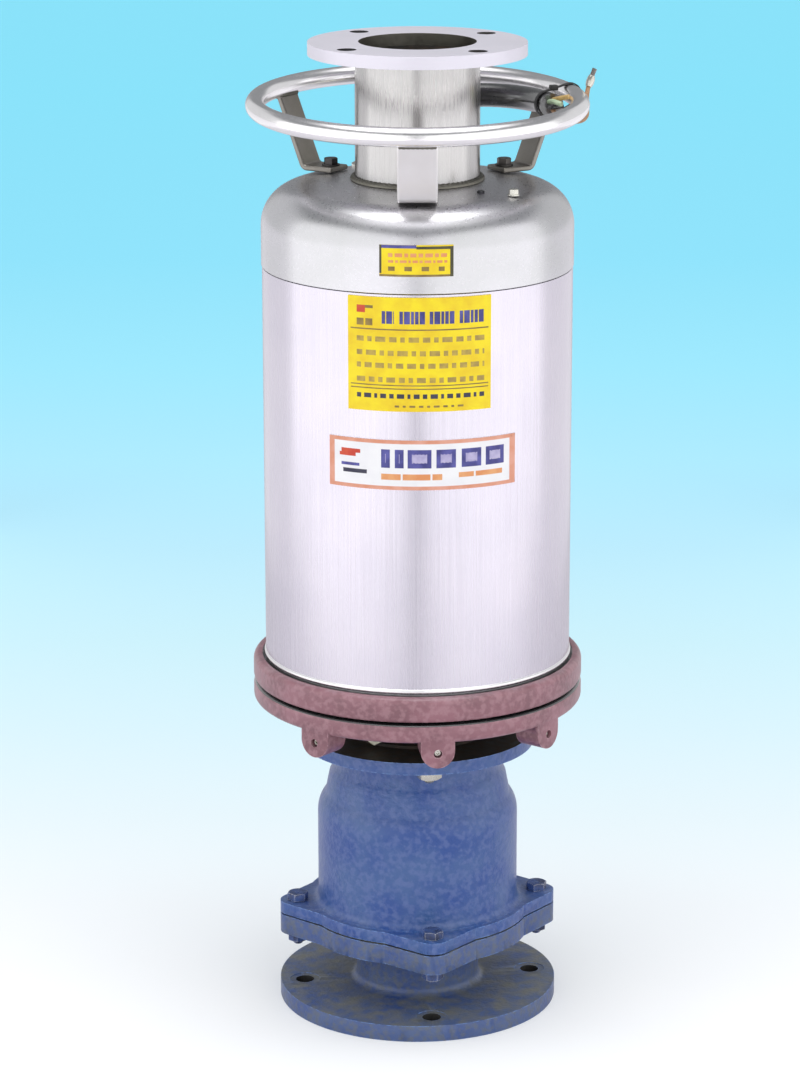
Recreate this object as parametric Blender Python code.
"""A submersible pump that stands on its cast check valve, with a stainless jacket and a lifting ring.

Metres, +Z up. The origin is the centre of the base flange's underside.
Angles are in degrees, counted from the front (-Y) towards +X.
"""

import math

import bmesh
import bpy
from mathutils import Vector

for old in list(bpy.data.objects):
    bpy.data.objects.remove(old, do_unlink=True)

# Driving dimensions, in millimetres
MM = 0.001
GAP = 0.3
WIDE_STEPS = 64
VALVE_STEPS = 48

VALVE_YAW = 7.0
BASE_RADIUS = 135.5
BASE_THICK = 16.0
BASE_BORE = 50.0
BASE_BOLT_CIRCLE = 112.0
BASE_HOLE = 9.0
VALVE_NECK = 60.0
LOBE_LOW = 68.0
LOBE_SPLIT = 87.0
LOBE_TOP = 100.0
LOBE_RIM = 109.0
LOBE_CIRCLE = 118.5
LOBE_TIP = 17.0
LOBE_REACH = 24.0
LOBE_HOLE = 6.5
LOBE_NUT = 18.0
FLAP_ROOM = 66.0
FLAP_ROOF = 112.0
BELL_RADIUS = 97.5
VALVE_TOP = 274.0
VALVE_TOP_RADIUS = 113.0
VALVE_TOP_THICK = 12.0
VALVE_BOLT_CIRCLE = 92.0
STUD_NUT = 21.0
DRAIN_ANGLE = -30.0
DRAIN_HEIGHT = 288.0

INLET_RADIUS = 72.0
CASING_LOW = 308.0
CASING_SPLIT = 327.0
CASING_TOP = 352.0
CASING_RADIUS = 158.5
RECESS_RADIUS = 149.0
RECESS_FLOOR = 346.0
EAR_TURNS = (-45.0, 0.0, 45.0, 135.0, 180.0, 225.0)
EAR_HALF = 16.0
EAR_LOW = 284.0
EAR_INNER = 131.0

JACKET_RADIUS = 146.5
JACKET_TOP = 732.2
COVER_RADIUS = 147.2
COVER_LOW = 732.7
SHOULDER = 38.0
SHOULDER_CENTRE = 109.2
COVER_EDGE = 809.2
COVER_TOP = 813.3
COVER_FLAT = 66.0

NECK_RADIUS = 58.5
NECK_BORE = 55.0
FLANGE_LOW = 930.0
TOTAL_HEIGHT = 942.0
FLANGE_RADIUS = 102.5
FLANGE_BOLT_CIRCLE = 85.0
FLANGE_HOLE = 9.0
FLANGE_YAW = 40.4

RING_RADIUS = 151.5
RING_TUBE = 9.0
RING_HEIGHT = 877.0
RING_RISE = 14.0
BAR_THICK = 5.0
BARS = (("front", 0.0, 37.0), ("right", 123.0, 29.0), ("left", 237.0, 29.0))
BAR_FOOT = 88.0
BAR_BEND = 121.0

UPPER_PLATE = (749.5, 778.5, -13.5, 12.7)
DATA_PLATE = (624.0, 730.0, -25.4, 27.0)
FRONT_LABEL = (550.0, 597.0, -33.3, 37.6)
PLUG_ANGLE = 52.0
PLUG_CIRCLE = 112.0
PLUG_HEAD = 8.0
PLUG_WASHER = 11.0
TIE_ANGLE = 108.0
TIE_CABLE = 129.2

CABLE = 11.5
CORE = 2.2
CABLE_TOP = 877.4
GLAND_ANGLE = 208.0
GLAND_CIRCLE = 94.0
GLAND_LEAN = 64.0
GLAND_RISE = 16.0
GLAND_BEND = 22.0
GLAND_BODY = 15.0


# Shared helpers
def at(angle, radius, across, height):
    """A point at this radius on this angle, moved sideways by across."""
    turn = math.radians(angle)
    x = radius * math.sin(turn) + across * math.cos(turn)
    y = -radius * math.cos(turn) + across * math.sin(turn)
    return Vector((x, y, height)) * MM


def surface(name, colour, roughness, metallic):
    material = bpy.data.materials.new(name)
    material.use_nodes = True
    shader = material.node_tree.nodes["Principled BSDF"]
    shader.inputs["Base Color"].default_value = (*colour, 1.0)
    shader.inputs["Roughness"].default_value = roughness
    shader.inputs["Metallic"].default_value = metallic
    material.diffuse_color = (*colour, 1.0)
    return material


STEEL = surface("stainless", (0.72, 0.72, 0.74), 0.3, 1.0)
RED = surface("red_casting", (0.42, 0.15, 0.19), 0.5, 0.0)
BLUE = surface("blue_casting", (0.08, 0.15, 0.4), 0.55, 0.0)
YELLOW = surface("yellow_plate", (0.85, 0.72, 0.05), 0.4, 0.0)
WHITE = surface("white_label", (0.85, 0.85, 0.84), 0.45, 0.0)
RUBBER = surface("black_rubber", (0.02, 0.02, 0.022), 0.6, 0.0)
GASKET = surface("gasket_sheet", (0.05, 0.05, 0.035), 0.8, 0.0)
PLATED = surface("plated_steel", (0.6, 0.6, 0.58), 0.35, 1.0)
IRON = surface("bare_iron", (0.12, 0.12, 0.13), 0.6, 0.8)
BOLT_PAINT = surface("blue_bolt_paint", (0.1, 0.17, 0.42), 0.45, 0.0)
BROWN = surface("brown_sleeve", (0.3, 0.17, 0.08), 0.5, 0.0)


def finished(name, mesh, material):
    bmesh.ops.recalc_face_normals(mesh, faces=mesh.faces)
    data = bpy.data.meshes.new(name)
    mesh.to_mesh(data)
    mesh.free()
    data.shade_smooth()
    data.set_sharp_from_angle(angle=math.radians(32))
    piece = bpy.data.objects.new(name, data)
    bpy.context.scene.collection.objects.link(piece)
    if material:
        data.materials.append(material)
    return piece


def bridged(mesh, rings, closed):
    """Walls between rows of points. A closed run joins the last row to the first, an open one is capped."""
    rows = [[mesh.verts.new(point) for point in ring] for ring in rings]
    following = rows[1:] + rows[:1] if closed else rows[1:]
    for near, far in zip(rows, following):
        for i in range(max(len(near), len(far))):
            j = i + 1
            corners = [near[i % len(near)], near[j % len(near)], far[j % len(far)], far[i % len(far)]]
            mesh.faces.new(list(dict.fromkeys(corners)))
    if not closed:
        for row in (rows[0], rows[-1]):
            if len(row) > 2:
                mesh.faces.new(row)


def turned(name, profile, steps, material):
    """A solid turned about the Z axis from the (radius, height) points of its half section."""
    mesh = bmesh.new()
    on_axis = profile[0][0] == 0
    rings = []
    for radius, height in profile:
        count = steps if radius > 0 else 1
        rings.append([at(360 * i / count, radius, 0, height) for i in range(count)])
    bridged(mesh, rings, closed=not on_axis)
    return finished(name, mesh, material)


def arc(centre_r, centre_z, radius, start, end, steps):
    """Points of an arc in the (radius, height) plane, angles from straight outwards to straight up."""
    points = []
    for i in range(steps + 1):
        turn = math.radians(start + (end - start) * i / steps)
        points.append((centre_r + radius * math.cos(turn), centre_z + radius * math.sin(turn)))
    return points


def helper(piece):
    piece.hide_render = True
    piece.display_type = "WIRE"
    return piece


def combined(piece, other, operation):
    step = piece.modifiers.new(other.name, "BOOLEAN")
    step.operation = operation
    step.solver = "EXACT"
    step.object = helper(other)


def upright_rods(name, radius, circle, angles, low, high, steps=20):
    """Upright cylinders on a bolt circle, in one mesh."""
    mesh = bmesh.new()
    for angle in angles:
        centre = at(angle, circle, 0, 0)
        rings = []
        for height in (low, high):
            rings.append([centre + at(360 * i / steps, radius, 0, height) for i in range(steps)])
        bridged(mesh, rings, closed=False)
    return finished(name, mesh, None)


def quarter_angles(yaw):
    return [yaw + 90 * i for i in range(4)]


def lobed_plate(name, low, high):
    """A round plate with four pointed lobes for bolts."""
    outline = []
    slope = LOBE_REACH + 18
    for lobe in quarter_angles(VALVE_YAW):
        for i in range(9):
            angle = lobe - 90 + LOBE_REACH + (90 - 2 * LOBE_REACH) * i / 8
            outline.append(at(angle, LOBE_RIM, 0, 0))
        centre = at(lobe, LOBE_CIRCLE, 0, 0)
        for i in range(7):
            outline.append(centre + at(lobe - slope + 2 * slope * i / 6, LOBE_TIP, 0, 0))
    mesh = bmesh.new()
    rings = [[point + Vector((0, 0, height * MM)) for point in outline] for height in (low, high)]
    bridged(mesh, rings, closed=False)
    return finished(name, mesh, None)


# Check valve
def valve_body():
    foot = BASE_THICK
    profile = [
        (BASE_BORE, 0), (BASE_RADIUS - 2, 0), (BASE_RADIUS, 2), (BASE_RADIUS, foot - 2),
        (BASE_RADIUS - 2, foot), (VALVE_NECK + 9, foot), (VALVE_NECK + 3, foot + 3),
        (VALVE_NECK, foot + 9), (VALVE_NECK, LOBE_LOW - 8), (VALVE_NECK + 4, LOBE_LOW + 4),
        (VALVE_NECK + 4, LOBE_SPLIT - 4), (BASE_BORE, LOBE_SPLIT - 4),
    ]
    body = turned("valve_body", profile, VALVE_STEPS, BLUE)
    plate = lobed_plate("join_lower_lobes", LOBE_LOW, LOBE_SPLIT)
    combined(body, plate, "UNION")
    bore = upright_rods("cut_valve_bore", BASE_BORE, 0, [0], LOBE_LOW - 5, LOBE_SPLIT + 5, VALVE_STEPS)
    combined(body, bore, "DIFFERENCE")
    angles = quarter_angles(VALVE_YAW)
    holes = upright_rods("cut_base_holes", BASE_HOLE, BASE_BOLT_CIRCLE, angles, -5, BASE_THICK + 5)
    combined(body, holes, "DIFFERENCE")
    low = LOBE_LOW - 5
    holes = upright_rods("cut_lower_lobe_holes", LOBE_HOLE, LOBE_CIRCLE, angles, low, LOBE_SPLIT + 5, 12)
    combined(body, holes, "DIFFERENCE")


def valve_gasket():
    low = LOBE_SPLIT + GAP
    outer = LOBE_RIM - 1.5
    profile = [(FLAP_ROOM, low), (outer, low), (outer, low + 1.1), (FLAP_ROOM, low + 1.1)]
    turned("valve_gasket", profile, VALVE_STEPS, GASKET)


def valve_bonnet():
    low = LOBE_SPLIT + 1.7
    top = VALVE_TOP
    under = VALVE_TOP - VALVE_TOP_THICK
    profile = [
        (0, LOBE_TOP - 4), (BELL_RADIUS + 9, LOBE_TOP - 4), (BELL_RADIUS + 9, LOBE_TOP),
        (BELL_RADIUS + 6, LOBE_TOP + 7), (BELL_RADIUS + 1.5, LOBE_TOP + 12), (BELL_RADIUS, LOBE_TOP + 20),
        (BELL_RADIUS, 193), (96, 203), (93, 212), (88.5, 224), (83, 235), (79, 246), (78, 254), (79, under),
        (VALVE_TOP_RADIUS - 3, under), (VALVE_TOP_RADIUS, under + 2.5), (VALVE_TOP_RADIUS, top - 2),
        (VALVE_TOP_RADIUS - 2, top), (0, top),
    ]
    bonnet = turned("valve_bonnet", profile, VALVE_STEPS, BLUE)
    plate = lobed_plate("join_upper_lobes", low, LOBE_TOP)
    combined(bonnet, plate, "UNION")
    room = upright_rods("cut_flap_room", FLAP_ROOM, 0, [0], low - 5, FLAP_ROOF, VALVE_STEPS)
    combined(bonnet, room, "DIFFERENCE")
    angles = quarter_angles(VALVE_YAW)
    holes = upright_rods("cut_upper_lobe_holes", LOBE_HOLE, LOBE_CIRCLE, angles, low - 5, LOBE_TOP + 5, 12)
    combined(bonnet, holes, "DIFFERENCE")
    holes = upright_rods("cut_valve_top_holes", LOBE_HOLE, VALVE_BOLT_CIRCLE, angles, under - 12, top + 5, 12)
    combined(bonnet, holes, "DIFFERENCE")


def valve_flap():
    """The disc that shuts on the seat, with its guide boss."""
    seat = LOBE_SPLIT + GAP
    profile = [
        (0, seat - 12), (10, seat - 12), (14, seat - 7), (16, seat), (62, seat), (62, seat + 8),
        (56, seat + 10), (16, seat + 14), (12, seat + 20), (0, seat + 20),
    ]
    turned("valve_flap", profile, 40, IRON)


# Bolts
def rim_point(kind, size, angle):
    """How far a round or six-sided outline is from its centre at this angle. Size is across its flats."""
    if kind == "round":
        return size / 2
    return size / 2 / math.cos(math.radians((angle + 30) % 60 - 30))


def bolt(name, centre_angle, circle, levels, material, turn=0.0):
    """A bolt on an upright axis from (kind, size, height) levels."""
    centre = at(centre_angle, circle, 0, 0)
    rings = []
    for kind, size, height in levels:
        ring = []
        for i in range(12):
            angle = 30 * i
            reach = rim_point(kind, size, angle)
            ring.append(centre + at(angle + centre_angle + turn, reach, 0, height))
        rings.append(ring)
    mesh = bmesh.new()
    bridged(mesh, rings, closed=False)
    return finished(name, mesh, material)


def lobe_bolts():
    low = LOBE_LOW - GAP
    high = LOBE_TOP + GAP
    levels = [
        ("round", 9.5, low - 13.5), ("round", 10.5, low - 12.5), ("round", 10.5, low - 10),
        ("hex", LOBE_NUT, low - 9.5), ("hex", LOBE_NUT, low), ("round", 11, low), ("round", 11, high),
        ("hex", LOBE_NUT, high), ("hex", LOBE_NUT, high + 6.5), ("round", LOBE_NUT - 1.5, high + 7.5),
    ]
    for i, angle in enumerate(quarter_angles(VALVE_YAW)):
        bolt(f"lobe_bolt_{i + 1}", angle, LOBE_CIRCLE, levels, BOLT_PAINT)


def inlet_studs():
    """Studs that hold the valve's top flange up to the pump casing."""
    low = VALVE_TOP - VALVE_TOP_THICK - GAP
    high = CASING_LOW - GAP
    levels = [
        ("round", 9.5, low - 14), ("round", 10.5, low - 13), ("round", 10.5, low - 10.5),
        ("hex", STUD_NUT, low - 9.5), ("hex", STUD_NUT, low), ("round", 11, low), ("round", 11, high),
    ]
    for i, angle in enumerate(quarter_angles(VALVE_YAW)):
        bolt(f"inlet_stud_{i + 1}", angle, VALVE_BOLT_CIRCLE, levels, PLATED)


# Inlet and pump casing
def inlet_spigot():
    low = VALVE_TOP + GAP
    high = CASING_LOW - GAP
    waist = INLET_RADIUS - 6
    profile = [
        (0, low), (INLET_RADIUS, low), (INLET_RADIUS, low + 3), (waist, low + 7), (waist, high - 8),
        (INLET_RADIUS, high), (0, high),
    ]
    turned("inlet_spigot", profile, 40, IRON)


def drain_plug():
    """A six-sided plug that points outwards from the inlet neck."""
    rings = []
    for kind, size, reach in (("round", 10, 66.4), ("round", 10, 74), ("hex", 17, 74), ("hex", 17, 83),
                              ("round", 15, 84.5)):
        ring = []
        for i in range(12):
            turn = math.radians(30 * i)
            out = rim_point(kind, size, 30 * i)
            ring.append(at(DRAIN_ANGLE, reach, out * math.cos(turn), DRAIN_HEIGHT + out * math.sin(turn)))
        rings.append(ring)
    mesh = bmesh.new()
    bridged(mesh, rings, closed=False)
    finished("drain_plug", mesh, PLATED)


def ear_outline():
    points = [(EAR_HALF, CASING_LOW + 6), (-EAR_HALF, CASING_LOW + 6)]
    for i in range(9):
        turn = math.radians(180 + 180 * i / 8)
        x = EAR_HALF * math.cos(turn)
        z = EAR_LOW + EAR_HALF + EAR_HALF * math.sin(turn)
        points.append((x, z))
    return points


def ears(name):
    mesh = bmesh.new()
    for step in EAR_TURNS:
        angle = VALVE_YAW + step
        rings = []
        for reach in (EAR_INNER, CASING_RADIUS - 1.2):
            rings.append([at(angle, reach, x, z) for x, z in ear_outline()])
        bridged(mesh, rings, closed=False)
    return finished(name, mesh, None)


def ear_holes(name):
    mesh = bmesh.new()
    for step in EAR_TURNS:
        angle = VALVE_YAW + step
        rings = []
        for reach in (CASING_RADIUS - 14, CASING_RADIUS + 6):
            ring = []
            for k in range(12):
                turn = math.radians(30 * k)
                ring.append(at(angle, reach, 4 * math.cos(turn), EAR_LOW + 14 + 4 * math.sin(turn)))
            rings.append(ring)
        bridged(mesh, rings, closed=False)
    return finished(name, mesh, None)


def casing_ring():
    low = CASING_LOW
    high = CASING_SPLIT - GAP
    edge = CASING_RADIUS - 5
    profile = [(0, low)]
    profile += arc(edge, low + 5, 5, -90, 0, 3)
    profile += arc(edge, high - 5, 5, 0, 60, 2)
    profile += [(edge, high), (0, high)]
    casing = turned("casing_ring", profile, WIDE_STEPS, RED)
    combined(casing, ears("join_ears"), "UNION")
    combined(casing, ear_holes("cut_ear_holes"), "DIFFERENCE")


def motor_base():
    low = CASING_SPLIT + GAP
    edge = CASING_RADIUS - 6
    profile = [(0, low), (edge, low)]
    profile += arc(edge, low + 6, 6, -60, 0, 2)
    profile += arc(edge, CASING_TOP - 6, 6, 0, 90, 3)
    profile += [(RECESS_RADIUS, CASING_TOP), (RECESS_RADIUS, RECESS_FLOOR), (0, RECESS_FLOOR)]
    turned("motor_base", profile, WIDE_STEPS, RED)


# Motor and jacket
def motor_jacket():
    """The jacket, solid with the motor inside it, and the bead at its foot."""
    outer = JACKET_RADIUS
    bead = JACKET_RADIUS + 1.3
    low = RECESS_FLOOR + GAP
    profile = [
        (0, low), (outer, low), (outer, CASING_TOP + 1), (bead, CASING_TOP + 2), (bead, CASING_TOP + 4),
        (outer, CASING_TOP + 5.5), (outer, JACKET_TOP), (0, JACKET_TOP),
    ]
    turned("motor_jacket", profile, WIDE_STEPS, STEEL)


def motor_end():
    """The domed end of the motor, which shows down the discharge bore."""
    edge = NECK_BORE - 0.6
    low = COVER_LOW
    profile = [
        (0, low), (edge, low), (edge, low + 24), (edge - 8, low + 32), (24, low + 38), (20, low + 45),
        (0, low + 45),
    ]
    turned("motor_end", profile, 40, IRON)


def cover_height(radius):
    """The height of the cover's outer face at this radius."""
    if radius <= COVER_FLAT:
        return COVER_TOP
    if radius <= SHOULDER_CENTRE:
        share = (radius - COVER_FLAT) / (SHOULDER_CENTRE - COVER_FLAT)
        return COVER_TOP + (COVER_EDGE - COVER_TOP) * share
    fall = radius - SHOULDER_CENTRE
    return COVER_EDGE - SHOULDER + math.sqrt(max(0, SHOULDER ** 2 - fall ** 2))


def top_cover():
    centre = COVER_EDGE - SHOULDER
    profile = [(NECK_BORE, COVER_LOW), (COVER_RADIUS, COVER_LOW)]
    profile += arc(SHOULDER_CENTRE, centre, SHOULDER, 0, 90, 9)
    profile += [(COVER_FLAT, COVER_TOP), (NECK_BORE, COVER_TOP)]
    turned("top_cover", profile, WIDE_STEPS, STEEL)


def discharge_neck():
    low = COVER_TOP + GAP
    high = FLANGE_LOW - GAP
    profile = [(NECK_BORE, low), (NECK_RADIUS, low), (NECK_RADIUS, high), (NECK_BORE, high)]
    turned("discharge_neck", profile, VALVE_STEPS, STEEL)


def neck_collar():
    low = COVER_TOP + GAP
    inner = NECK_RADIUS + GAP
    profile = [
        (inner, low), (inner + 4.2, low), (inner + 3.8, low + 1.8), (inner + 2.4, low + 3.6),
        (inner + 0.6, low + 4.4), (inner, low + 4.4),
    ]
    turned("neck_collar", profile, VALVE_STEPS, STEEL)


def discharge_flange():
    profile = [
        (NECK_BORE, FLANGE_LOW), (FLANGE_RADIUS - 1.5, FLANGE_LOW), (FLANGE_RADIUS, FLANGE_LOW + 1.5),
        (FLANGE_RADIUS, TOTAL_HEIGHT - 1.5), (FLANGE_RADIUS - 1.5, TOTAL_HEIGHT),
        (NECK_BORE + 1.5, TOTAL_HEIGHT), (NECK_BORE, TOTAL_HEIGHT - 1.5),
    ]
    flange = turned("discharge_flange", profile, WIDE_STEPS, STEEL)
    angles = quarter_angles(FLANGE_YAW)
    low = FLANGE_LOW - 5
    high = TOTAL_HEIGHT + 5
    holes = upright_rods("cut_flange_holes", FLANGE_HOLE, FLANGE_BOLT_CIRCLE, angles, low, high)
    combined(flange, holes, "DIFFERENCE")


# Lifting ring
def ring_height(angle):
    """The height of the ring's middle line. The ring leans, so it is lowest at the front."""
    return RING_HEIGHT + RING_RISE * (1 - math.cos(math.radians(angle))) / 2


def handle_ring():
    mesh = bmesh.new()
    rings = []
    for i in range(60):
        section = []
        for k in range(12):
            turn = math.radians(30 * k)
            reach = RING_RADIUS + RING_TUBE * math.cos(turn)
            section.append(at(6 * i, reach, 0, ring_height(6 * i) + RING_TUBE * math.sin(turn)))
        rings.append(section)
    bridged(mesh, rings, closed=True)
    finished("handle_ring", mesh, STEEL)


def bar_outline(angle):
    """The side view of a bracket, as (radius, height) points: a flat foot, a bend and a leaning upright."""
    foot = cover_height(BAR_FOOT) + GAP
    bend = Vector((BAR_BEND, foot + BAR_THICK / 2))
    ring = Vector((RING_RADIUS, ring_height(angle)))
    along = (ring - bend).normalized()
    side = Vector((along.y, -along.x)) * (BAR_THICK / 2)
    end = ring - along * (RING_TUBE + 1.1)
    start = bend + along * 5
    return [
        (BAR_FOOT, foot), (BAR_BEND - 3, foot), (BAR_BEND + 0.5, foot + 0.6), tuple(start + side),
        tuple(end + side), tuple(end - side), tuple(start - side), (BAR_BEND - 3.5, foot + BAR_THICK),
        (BAR_FOOT, foot + BAR_THICK),
    ]


def ring_brackets():
    for name, angle, width in BARS:
        mesh = bmesh.new()
        rings = []
        for across in (-width / 2, width / 2):
            rings.append([at(angle, radius, across, height) for radius, height in bar_outline(angle)])
        bridged(mesh, rings, closed=False)
        finished(f"ring_bracket_{name}", mesh, STEEL)


# Plates on the front
def curved_plate(name, inner, thick, extent, steps, material):
    """A thin plate round the jacket. Its extent is its lowest and highest point and its two end angles."""
    low, high, start, end = extent
    outer = inner + thick
    mesh = bmesh.new()
    rings = []
    for i in range(steps + 1):
        angle = start + (end - start) * i / steps
        corners = [(inner, low), (outer, low), (outer, high), (inner, high)]
        rings.append([at(angle, radius, 0, height) for radius, height in corners])
    bridged(mesh, rings, closed=False)
    finished(name, mesh, material)


def front_plates():
    curved_plate("upper_plate", COVER_RADIUS + GAP, 0.6, UPPER_PLATE, 8, YELLOW)
    curved_plate("data_plate", JACKET_RADIUS + GAP, 0.8, DATA_PLATE, 16, YELLOW)
    curved_plate("front_label", JACKET_RADIUS + GAP, 0.5, FRONT_LABEL, 20, WHITE)


def cover_plug():
    low = cover_height(PLUG_CIRCLE - PLUG_WASHER / 2) + GAP
    levels = [("round", PLUG_WASHER, low), ("round", PLUG_WASHER, low + 1.2), ("hex", PLUG_HEAD, low + 1.2),
              ("hex", PLUG_HEAD, low + 5.5), ("round", PLUG_HEAD - 1, low + 6)]
    bolt("cover_plug", PLUG_ANGLE, PLUG_CIRCLE, levels, PLATED)


# Power cable
def gland_frame(turned_by, centre):
    """The two cross directions of the gland where it leans by this angle, and its point."""
    turn = math.radians(GLAND_ANGLE)
    outward = Vector((math.sin(turn), -math.cos(turn), 0))
    onward = Vector((-math.cos(turn), -math.sin(turn), 0))
    lean = math.radians(turned_by)
    cross = onward * math.cos(lean) - Vector((0, 0, 1)) * math.sin(lean)
    point = outward * GLAND_CIRCLE + onward * centre[0] + Vector((0, 0, centre[1]))
    return outward, cross, point


def gland_path():
    """(lean, travel, height) down the middle of the gland's elbow, then of its nut."""
    foot = cover_height(GLAND_CIRCLE) + GLAND_RISE
    path = []
    for i in range(6):
        lean = GLAND_LEAN * i / 5
        turn = math.radians(lean)
        path.append((lean, GLAND_BEND * (1 - math.cos(turn)), foot + GLAND_BEND * math.sin(turn)))
    return path


def gland_end(extra):
    """The (travel, height) of a point this far past the elbow, along the nut."""
    lean, travel, height = gland_path()[-1]
    turn = math.radians(lean)
    return travel + extra * math.sin(turn), height + extra * math.cos(turn)


def cable_gland():
    steps = 24
    mesh = bmesh.new()
    outward, cross, point = gland_frame(0, (0, 0))
    foot = []
    for i in range(steps):
        turn = 2 * math.pi * i / steps
        spot = point + (outward * math.cos(turn) + cross * math.sin(turn)) * (GLAND_BODY + 4)
        spot.z = cover_height(math.hypot(spot.x, spot.y)) + GAP
        foot.append(spot * MM)
    rings = [foot]
    flange = cover_height(GLAND_CIRCLE) + 4
    sections = [(0, 0, flange, GLAND_BODY + 4, "round"), (0, 0, flange + 0.5, GLAND_BODY, "round")]
    for lean, travel, height in gland_path():
        sections.append((lean, travel, height, GLAND_BODY, "round"))
    for extra, size, kind in ((1, GLAND_BODY, "round"), (1.5, 17.5, "hex"), (12, 17.5, "hex"),
                              (13, 16, "round"), (15, CABLE + 1.5, "round")):
        travel, height = gland_end(extra)
        sections.append((GLAND_LEAN, travel, height, size, kind))
    for lean, travel, height, size, kind in sections:
        outward, cross, point = gland_frame(lean, (travel, height))
        ring = []
        for i in range(steps):
            turn = 2 * math.pi * i / steps
            reach = rim_point(kind, size * 2, 360 * i / steps)
            ring.append((point + (outward * math.cos(turn) + cross * math.sin(turn)) * reach) * MM)
        rings.append(ring)
    bridged(mesh, rings, closed=False)
    finished("cable_gland", mesh, PLATED)


def smooth_route(route, count):
    """Points read from a smooth curve through the points of a route."""
    before = (route[0] - route[1]) * 3 + route[2]
    after = (route[-1] - route[-2]) * 3 + route[-3]
    ends = [before] + route + [after]
    spans = len(route) - 1
    points = []
    for i in range(count):
        place = spans * i / (count - 1)
        k = min(int(place), spans - 1)
        t = place - k
        a, b, c, d = ends[k:k + 4]
        points.append((b * 2 + (c - a) * t + (a * 2 - b * 5 + c * 4 - d) * t ** 2
                       + (b * 3 - a - c * 3 + d) * t ** 3) / 2)
    return points


def cord(name, points, radius, material, resolution):
    curve = bpy.data.curves.new(name, "CURVE")
    curve.dimensions = "3D"
    curve.bevel_depth = radius * MM
    curve.bevel_resolution = resolution
    curve.use_fill_caps = True
    spline = curve.splines.new("POLY")
    spline.points.add(len(points) - 1)
    for point, target in zip(spline.points, points):
        point.co = (*target, 1)
    piece = bpy.data.objects.new(name, curve)
    bpy.context.scene.collection.objects.link(piece)
    curve.materials.append(material)


def power_cable():
    route = [gland_frame(GLAND_LEAN, gland_end(16.8))[2] * MM]
    for radius, angle, height in ((103.4, 180.4, 862.6), (108.9, 169.7, 869.3), (114.0, 159.4, 873.9),
                                  (118.5, 149.6, 876.2), (122.3, 139.9, 877.0), (125.4, 130.5, 877.3),
                                  (127.7, 121.3, CABLE_TOP), (129.0, 112.1, CABLE_TOP),
                                  (129.5, 103.0, CABLE_TOP)):
        route.append(at(angle, radius, 0, height))
    cord("power_cable", smooth_route(route, 13), CABLE, RUBBER, 3)


def cable_core():
    """One insulated core that runs under the lifting ring from the cable's end and stands up outside it."""
    route = []
    for radius, angle, height in ((129.5, 102.4, 876.0), (129.5, 99.1, 873.2), (132.4, 96.4, 870.0),
                                  (138.1, 94.7, 867.2), (144.8, 94.3, 865.4), (151.6, 95.1, 865.0),
                                  (157.3, 96.7, 866.4), (161.0, 99.1, 869.6), (163.0, 101.8, 874.4),
                                  (164.4, 104.2, 881.2), (166.9, 106.0, 889.6), (170.8, 106.9, 899.0),
                                  (175.0, 107.2, 909.0)):
        route.append(at(angle, radius, 0, height))
    cord("cable_core", smooth_route(route, 17), CORE, BROWN, 2)


def cable_tie():
    """A strap round the cable and the lifting ring."""
    middle = ring_height(TIE_ANGLE)
    ends = ((TIE_CABLE, CABLE_TOP, CABLE + 1.2), (RING_RADIUS, middle, RING_TUBE + 0.6))
    lean = math.degrees(math.atan2(middle - CABLE_TOP, RING_RADIUS - TIE_CABLE))
    loops = []
    for grow, across in ((0, -2.5), (1.5, -2.5), (1.5, 2.5), (0, 2.5)):
        loop = []
        for (radius, height, size), start in zip(ends, (90, -90)):
            for i in range(9):
                turn = math.radians(start + lean + 180 * i / 8)
                reach = radius + (size + grow) * math.cos(turn)
                loop.append(at(TIE_ANGLE, reach, across, height + (size + grow) * math.sin(turn)))
        loops.append(loop)
    mesh = bmesh.new()
    bridged(mesh, loops, closed=True)
    finished("cable_tie", mesh, RUBBER)


valve_body()
valve_gasket()
valve_bonnet()
valve_flap()
lobe_bolts()
inlet_studs()
inlet_spigot()
drain_plug()
casing_ring()
motor_base()
motor_jacket()
motor_end()
top_cover()
discharge_neck()
neck_collar()
discharge_flange()
handle_ring()
ring_brackets()
front_plates()
cover_plug()
cable_gland()
power_cable()
cable_core()
cable_tie()
